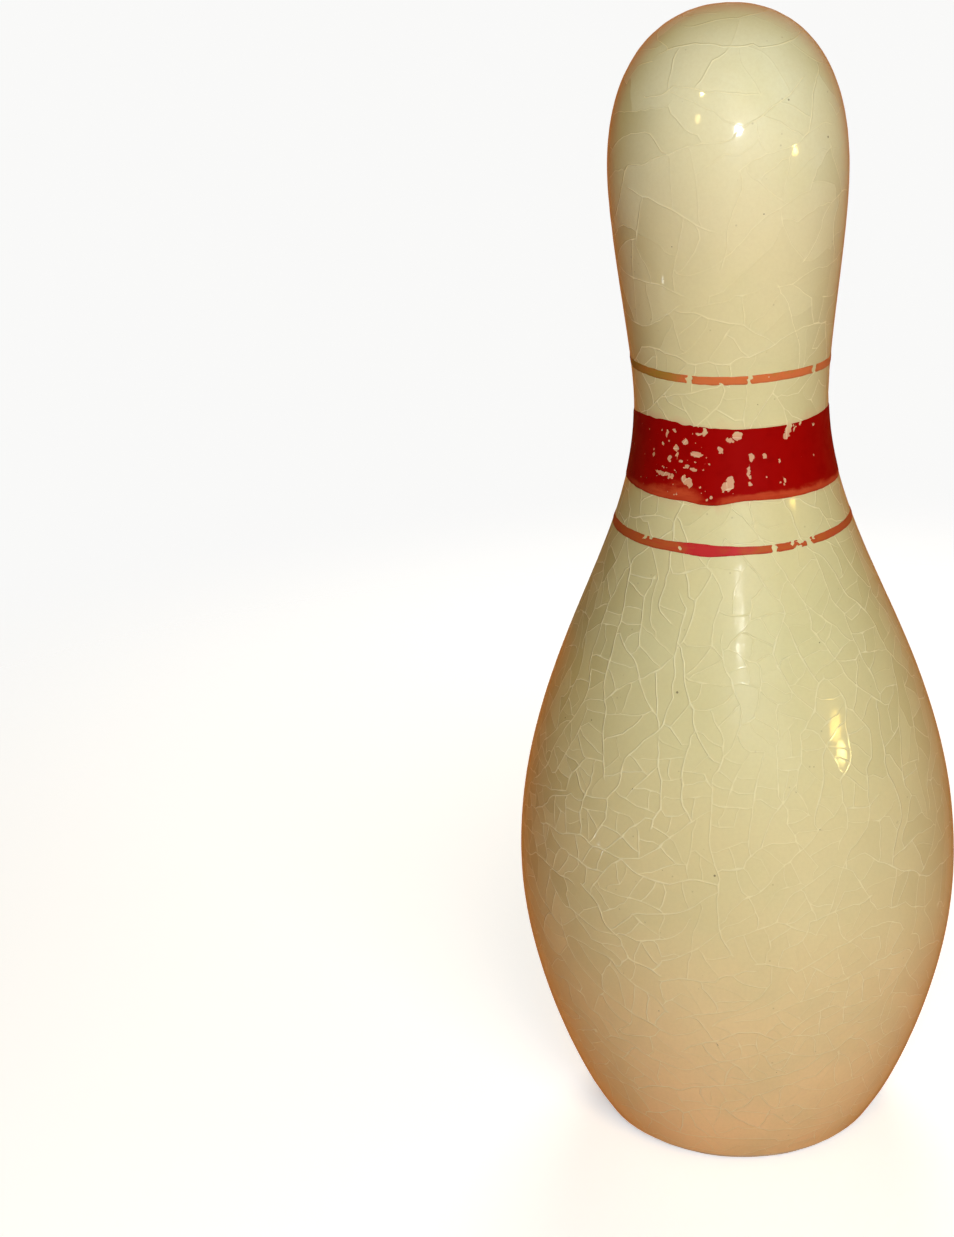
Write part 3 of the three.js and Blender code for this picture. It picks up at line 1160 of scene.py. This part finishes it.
def glaze_material():
    """Aged cream glaze: cloudy, warmer towards the foot and paler at the crown, with light cracks, a
    slightly different tone in each cell between them, dark pits and specks, and most of its gloss rubbed
    off below the bands. The warm foot is partly painted bounce light from a warm surface below, and the
    pale crown is partly painted light from above.

    Cracks and cells show most on the left and where the glaze turns away, and least near the foot. This is
    partly painted light and shade: the cells' darker tone towards the rims and on the left is painted
    shade, and the cracks' extra lightness on the left is painted light, where the light fell grazing. In
    the bump a crack stands proud, so that it catches the light on one side."""
    g = Graph("aged_cream_glaze")
    # The tone up the pin carries painted light: warm bounce at the foot and a paler crown.
    tone = g.tones(g.ramp(g.place("Z"), cad_low.z, cad_high.z, smooth=False), GLAZE_TONES_WITH_PAINTED_LIGHT)
    cloudy = g.mix(g.ramp(g.noise(20 * MM, 2), 0.35, 0.68, 0.0, 0.3), tone, tint(222, 208, 158))
    greenish = g.mix(g.ramp(g.noise(9 * MM, 3), 0.45, 0.75, 0, 0.3), cloudy, tint(210, 208, 160))
    fine = g.mix(g.ramp(g.noise(0.35 * MM, 4, 0.7), 0.3, 0.75, 0, 0.12), greenish, tint(190, 180, 132))
    slope = g.node("LayerWeight", "Facing")
    # Each cell's own random tone, made darker towards the rims and on the left as painted shade where the
    # light fell grazing.
    cell_tone_and_painted_shade = g.times(g.attribute("cell"), g.ramp(slope, 0.1, 0.6, 0.05, 0.24))
    cell_tone_and_painted_shade = g.times(cell_tone_and_painted_shade, g.ramp(g.place("Z"), 12 * MM, 40 * MM, 0.15, 1.0))
    painted_light_leftwards = g.ramp(g.place("X"), -3 * MM, -9 * MM)
    cell_tone_and_painted_shade = g.times(cell_tone_and_painted_shade, g.ramp(painted_light_leftwards, 0, 1, 1.2, 2.1))
    celled = g.mix(cell_tone_and_painted_shade, fine, tint(174, 165, 108))
    specks = g.ramp(g.cells(1.8 * MM), 0.07, 0.03, 0, 0.3)
    specked = g.mix(specks, celled, tint(128, 118, 82))
    stained = g.mix(g.times(g.attribute("stain"), 0.68), specked, tint(206, 128, 110))
    crack = g.attribute("craze")
    # Crack lines are made wider and lighter on the left as painted light, where the light fell grazing.
    line = g.ramp(crack, CRACK_SHOWN, g.ramp(painted_light_leftwards, 0, 1, 0.66, 0.52))
    strength = g.maths("ADD", g.ramp(slope, 0.05, 0.55, 0.38, 0.7), g.ramp(painted_light_leftwards, 0, 1, 0, 0.2))
    strength = g.times(strength, g.ramp(g.place("Z"), 12 * MM, 40 * MM, 0.8, 1.0))
    cracked = g.mix(g.times(line, strength), stained, tint(250, 246, 210))
    pit = g.attribute("pit")
    pitted = g.mix(g.ramp(pit, 0.05, 0.5, 0, 0.8), cracked, tint(92, 84, 58))
    peel = g.bump(g.noise(2.4 * MM, 2), 0.02 * MM, 0.35)
    raised = g.bump(crack, 4.6 * CRACK_DEPTH, 1.0, peel)
    rubbed = g.times(g.ramp(g.place("Z"), 54 * MM, 60 * MM), g.ramp(g.place("Z"), 75 * MM, 70 * MM))
    rubbed = g.times(rubbed, g.ramp(g.place("X"), 5.5 * MM, 3.5 * MM))
    patchy = g.ramp(g.noise(0.8 * MM, 4, 0.65, stretch=(1, 1, 2.5)), 0.42, 0.62, 0.012, 0.10)
    gloss = g.ramp(g.noise(0.9 * MM, 3), 0.3, 0.8, 0.06, 0.10)
    return g.finish(
        Base_Color=pitted, Roughness=0.42, Specular_IOR_Level=0.3, Normal=raised,
        Coat_Weight=g.ramp(rubbed, 0, 1, 1.0, patchy), Coat_Roughness=gloss, Coat_IOR=1.5,
        Coat_Normal=g.bump(crack, 0.4 * CRACK_DEPTH, 1.0, peel),
    )


def paint_material(name, strong, faded, mottled, rough):
    """Brushed cold paint: streaks round the pin, darker pooled edges and a faded colour where it is
    thin. mottled is how much the faded colour comes through elsewhere."""
    g = Graph(name)
    streak = g.noise(0.55 * MM, 3, stretch=(7, 7, 1))
    mottle = g.noise(1.6 * MM, 4, 0.65)
    dark = [0.45 * part for part in strong[:3]] + [1]
    body = g.mix(g.ramp(mottle, 0.45, 0.85, 0, 0.3), strong, dark)
    uneven = g.maths("ADD", g.ramp(streak, 0.3, 0.75, -0.25, 0.25), g.ramp(mottle, 0.35, 0.7, -0.2, 0.25))
    thin = g.times(uneven, g.ramp(g.attribute("fade"), 0.0, 0.3, mottled, 1.0))
    washed = g.mix(g.ramp(streak, 0.4, 0.75, 0, 0.45), faded, strong)
    colour = g.mix(g.ramp(g.maths("ADD", g.attribute("fade"), thin), 0.05, 0.95), body, washed)
    pooled = g.mix(g.ramp(g.attribute("pooled"), 0.1, 1.0, 0, 0.35), colour, dark)
    gloss = g.ramp(mottle, 0.3, 0.8, rough - 0.08, rough + 0.12)
    relief = g.bump(streak, 0.02 * MM, 0.6, g.bump(mottle, 0.02 * MM, 0.4))
    return g.finish(Base_Color=pooled, Roughness=gloss, Normal=relief, Specular_IOR_Level=0.06)


def clay_material():
    """Bare earthenware: fine grain, faint iron specks, and greyer and darker in the lowest half
    millimetre, where it stands.
    """
    g = Graph("bare_earthenware")
    grain = g.noise(0.3 * MM, 5, 0.7)
    cloud = g.noise(5 * MM, 3)
    body = g.mix(g.ramp(grain, 0.3, 0.75), tint(226, 211, 182), tint(207, 188, 155))
    shaded = g.mix(g.ramp(cloud, 0.35, 0.7, 0, 0.5), body, tint(196, 172, 138))
    # Greyer and darker within half a millimetre of the bottom.
    darker_at_bottom = g.mix(g.ramp(g.place("Z"), 0.5 * MM, 0.0, 0, 0.4), shaded, tint(132, 116, 96))
    specks = g.ramp(g.cells(1.4 * MM), 0.16, 0.08, 0, 0.7)
    colour = g.mix(specks, darker_at_bottom, tint(120, 78, 48))
    relief = g.bump(grain, 0.05 * MM, 0.7)
    return g.finish(Base_Color=colour, Roughness=g.ramp(cloud, 0.3, 0.8, 0.8, 0.95), Normal=relief)


def cork_material():
    """Natural cork: pale granules, a warm grain and dark brown lenticels."""
    g = Graph("natural_cork")
    granules = g.cells(0.55 * MM)
    tone = g.mix(g.ramp(granules, 0.1, 0.7), tint(205, 162, 112), tint(172, 125, 80))
    grain = g.noise(0.8 * MM, 4, 0.65, stretch=(1, 1, 2.6))
    warm = g.mix(g.ramp(grain, 0.35, 0.7, 0, 0.55), tone, tint(150, 100, 60))
    pores = g.ramp(g.noise(1.1 * MM, 3, 0.6, stretch=(1, 1, 2)), 0.6, 0.68)
    colour = g.mix(pores, warm, tint(74, 44, 26))
    relief = g.bump(granules, 0.06 * MM, 0.6, g.bump(pores, -0.1 * MM, 0.7))
    return g.finish(Base_Color=colour, Roughness=g.ramp(grain, 0.3, 0.8, 0.75, 0.95), Normal=relief)


# ------------------------ floor, light and camera

CAMERA_DISTANCE = 1.594 * PIN_HEIGHT
CAMERA_HEIGHT = 1.046 * PIN_HEIGHT
CAMERA_PITCH = math.radians(19.32)
CAMERA_YAW = math.radians(-8.165)
CAMERA_ROLL = math.radians(-3.314)
CAMERA_LENS = 54.97
SENSOR_LONG_SIDE = 36
CAMERA_CLIP = 0.01


def make_camera():
    """The camera a little above the pin's crown, looking down at it, with the pin to the right."""
    aim = Vector((
        math.sin(CAMERA_YAW) * math.cos(CAMERA_PITCH),
        math.cos(CAMERA_YAW) * math.cos(CAMERA_PITCH),
        -math.sin(CAMERA_PITCH),
    ))
    level = Vector((math.cos(CAMERA_YAW), -math.sin(CAMERA_YAW), 0))
    up = level.cross(aim)
    side = level * math.cos(CAMERA_ROLL) + up * math.sin(CAMERA_ROLL)
    top = up * math.cos(CAMERA_ROLL) - level * math.sin(CAMERA_ROLL)
    data = bpy.data.cameras.new("camera")
    data.lens = CAMERA_LENS
    data.sensor_width = SENSOR_LONG_SIDE
    data.clip_start = CAMERA_CLIP
    camera = add_object("camera", data)
    turn = Matrix((side, top, -aim)).transposed().to_4x4()
    camera.matrix_world = Matrix.Translation((0, -CAMERA_DISTANCE, CAMERA_HEIGHT)) @ turn
    bpy.context.scene.camera = camera
    return camera


def area_light(name, place, target, size, power, colour):
    """An oval light at a place, facing a target. Its size is its width and height."""
    data = bpy.data.lights.new(name, "AREA")
    data.shape = "ELLIPSE"
    data.size, data.size_y = size
    data.energy = power
    data.color = colour
    light = add_object(name, data)
    light.location = place
    light.rotation_mode = "QUATERNION"
    light.rotation_quaternion = (Vector(place) - Vector(target)).to_track_quat("Z", "Y")
    light.visible_camera = False
    return light


def mirrored_place(camera, degrees, height, distance):
    """Where a lamp must be for the camera to see it mirrored in the glaze at an azimuth and height."""
    azimuth, s = np.array([math.radians(degrees)]), outline.at_height(np.array([height * MM]))
    spot = Vector(on_surface(azimuth, s)[0])
    normal = Vector(surface_normals(azimuth, s)[0])
    sight = (camera.matrix_world.translation - spot).normalized()
    return spot + (2 * normal.dot(sight) * normal - sight) * distance, spot


# Soft lights that the gloss doesn't mirror: (name, turn from the front and rise in degrees, distance
# from the pin's middle, size, power, colour). The last two light what isn't seen from the front.
SOFTBOXES = [
    ("key_softbox", 25, 19, 0.30, 0.12, 0.27, (0.96, 1.05, 1.09)),
    ("camera_softbox", 5, 20, 0.19, 0.05, 0.095, (0.75, 1.0, 1.3)),
    ("upper_softbox", 10, 40, 0.20, 0.06, 0.108, (1.1, 0.7, 0.2)),
    ("crown_softbox", -55, 60, 0.16, 0.05, 0.007, (1.0, 1.0, 1.0)),
    ("back_softbox", 180, 28, 0.30, 0.16, 0.54, (1.0, 0.97, 0.9)),
    ("under_softbox", 20, -70, 0.30, 0.12, 0.35, (1.0, 0.95, 0.88)),
]

# Lights that only the gloss shows: (name, azimuth in degrees and height in mm at which the camera sees
# them in the glaze, distance, (width, height), power, colour).
GLINTS = [
    ("flash", 5.2, 109.1, 0.18, (0.022, 0.016), 0.10, (0.95, 0.98, 1.0)),
    ("lamp_left", -12.5, 112.4, 0.50, (0.030, 0.026), 0.20, (1.0, 0.80, 0.30)),
    ("lamp_left_low", -14.0, 110.2, 0.50, (0.045, 0.045), 0.06, (1.0, 0.75, 0.25)),
    ("lamp_right", 31.2, 51.9, 0.30, (0.040, 0.018), 0.026, (1.0, 0.66, 0.10)),
    ("lamp_right_low", 31.5, 49.4, 0.50, (0.048, 0.026), 0.105, (1.0, 0.80, 0.24)),
    ("window", -37.0, 39.6, 0.30, (0.006, 0.006), 0.0015, (0.85, 0.92, 1.0)),
]


def make_lights(camera):
    """Soft studio light from the camera's side, and a flash and a few warm lamps in the gloss."""
    middle = Vector((0, 0, cad_low.z + PIN_HEIGHT / 2))
    for name, turn, rise, distance, size, power, colour in SOFTBOXES:
        turn, rise = math.radians(turn), math.radians(rise)
        away = Vector((
            math.sin(turn) * math.cos(rise), -math.cos(turn) * math.cos(rise), math.sin(rise)
        ))
        softbox = area_light(name, middle + away * distance, middle, (size, size), power, colour)
        softbox.visible_glossy = False
    for name, degrees, height, distance, size, power, colour in GLINTS:
        place, spot = mirrored_place(camera, degrees, height, distance)
        area_light(name, place, spot, size, power, colour).visible_diffuse = False


# What the surround shows: to the eye, to matt surfaces, and to the gloss in front of, below, beside
# and straight behind the pin.
SEEN_COLOUR = (0.95, 0.948, 0.94, 1)
AMBIENT_COLOUR = (0.056, 0.048, 0.034, 1)
GLOSS_FRONT = (0.41, 0.31, 0.06, 1)
GLOSS_BELOW = (0.42, 0.13, 0.02, 1)
GLOSS_BESIDE = (0.58, 0.42, 0.07, 1)
GLOSS_BEHIND = (0.50, 0.13, 0.02, 1)


def make_world():
    """A pale surround for the eye, and a dim warm room for what falls on the pin."""
    g = Graph("studio", bpy.data.worlds)
    way = {"Vector": g.node("TexCoord", "Generated")}
    away, up = g.node("SeparateXYZ", "Y", way), g.node("SeparateXYZ", "Z", way)
    room = g.mix(g.ramp(away, 0.0, 0.4), GLOSS_FRONT, GLOSS_BESIDE)
    room = g.mix(g.ramp(away, 0.55, 0.85), room, GLOSS_BEHIND)
    room = g.mix(g.ramp(up, -0.25, 0.25, smooth=False), GLOSS_BELOW, room)
    cast = g.mix(g.node("LightPath", "Is Glossy Ray"), AMBIENT_COLOUR, room)
    colour = g.mix(g.node("LightPath", "Is Camera Ray"), cast, SEEN_COLOUR)
    g.node("OutputWorld", None, {"Surface": g.node("Background", "Background", {"Color": colour})})
    g.owner.cycles.sampling_method = "NONE"
    bpy.context.scene.world = g.owner


FLOOR_RADIUS = 1.2
FLOOR_SIDES = 96
FLOOR_HOLE_RADIUS = 13.4 * MM
FLOOR_DROP = 0.02 * MM
FLOOR_FADE = (0.08, 0.26)
FLOOR_GLOW = 0.52
FLOOR_COLOUR = (0.86, 0.85, 0.83, 1)
FLOOR_BOUNCE = (0.95, 0.68, 0.50, 1)


def make_floor():
    """A pale floor that melts into the surround and bounces warm light. It has a hole under the foot,
    and is clear from below, so that the underside can be seen and lit."""
    turns = [TURN * i / FLOOR_SIDES for i in range(FLOOR_SIDES)]
    points = [
        (radius * math.cos(turn), radius * math.sin(turn), cad_low.z - FLOOR_DROP)
        for radius in (FLOOR_HOLE_RADIUS, FLOOR_RADIUS)
        for turn in turns
    ]
    floor = make_piece("floor", points, turned_faces(0, 2, FLOOR_SIDES, outward=False))
    g = Graph("pale_floor")
    seen = g.node("LightPath", "Is Camera Ray")
    away = g.node("VectorMath", "Value", {0: g.coordinates()}, operation="LENGTH")
    faded = g.times(seen, g.ramp(away, *FLOOR_FADE))
    clear = g.maths("MAXIMUM", faded, g.node("NewGeometry", "Backfacing"))
    floor.data.materials.append(g.finish(
        Base_Color=g.mix(seen, FLOOR_BOUNCE, FLOOR_COLOUR), Roughness=0.7, Specular_IOR_Level=0.1,
        Emission_Color=(1, 1, 1, 1), Emission_Strength=g.times(seen, FLOOR_GLOW),
        Alpha=g.maths("SUBTRACT", 1.0, clear),
    ))
    floor.visible_glossy = False


# ------------------------ the scene

# Painted bands: (piece, CAD node, slot, strong colour, faded colour, how mottled, roughness, lowest and
# highest height in mm, extra thickness, and the fields of edges, depth and fade).
BANDS = [
    ("wide_band_film", "wide_band", "red_paint", (150, 0, 0), (190, 74, 42), 0.1, 0.6,
     72.6, 81.6, 0.02 * MM, wide_edges, wide_depth, wide_fade),
    ("upper_line_film", "upper_thin_band", "orange_paint", (204, 112, 66), (160, 126, 50), 1.6, 0.4,
     84.4, 86.7, 0.0, upper_edges, line_depth(upper_edges, 0.045 * MM, UPPER_GAPS, 4), upper_fade),
    ("lower_line_film", "lower_thin_band", "brick_paint", (192, 48, 52), (182, 92, 46), 1.3, 0.4,
     67.6, 70.3, 0.0, lower_edges, line_depth(lower_edges, 0.04 * MM, LOWER_GAPS, 6), lower_fade),
]

glaze_coat(glaze_material())
for piece, node, slot, strong, faded, mottled, rough, low, high, extra, *fields in BANDS:
    material = paint_material(slot, tint(*strong), tint(*faded), mottled, rough)
    paint_film(piece, node, slot, material, (low * MM, high * MM), extra, *fields)
clay_body(clay_material())
cork_stopper(cork_material())
make_floor()
make_world()
make_lights(make_camera())
bpy.context.scene.view_settings.view_transform = "Standard"
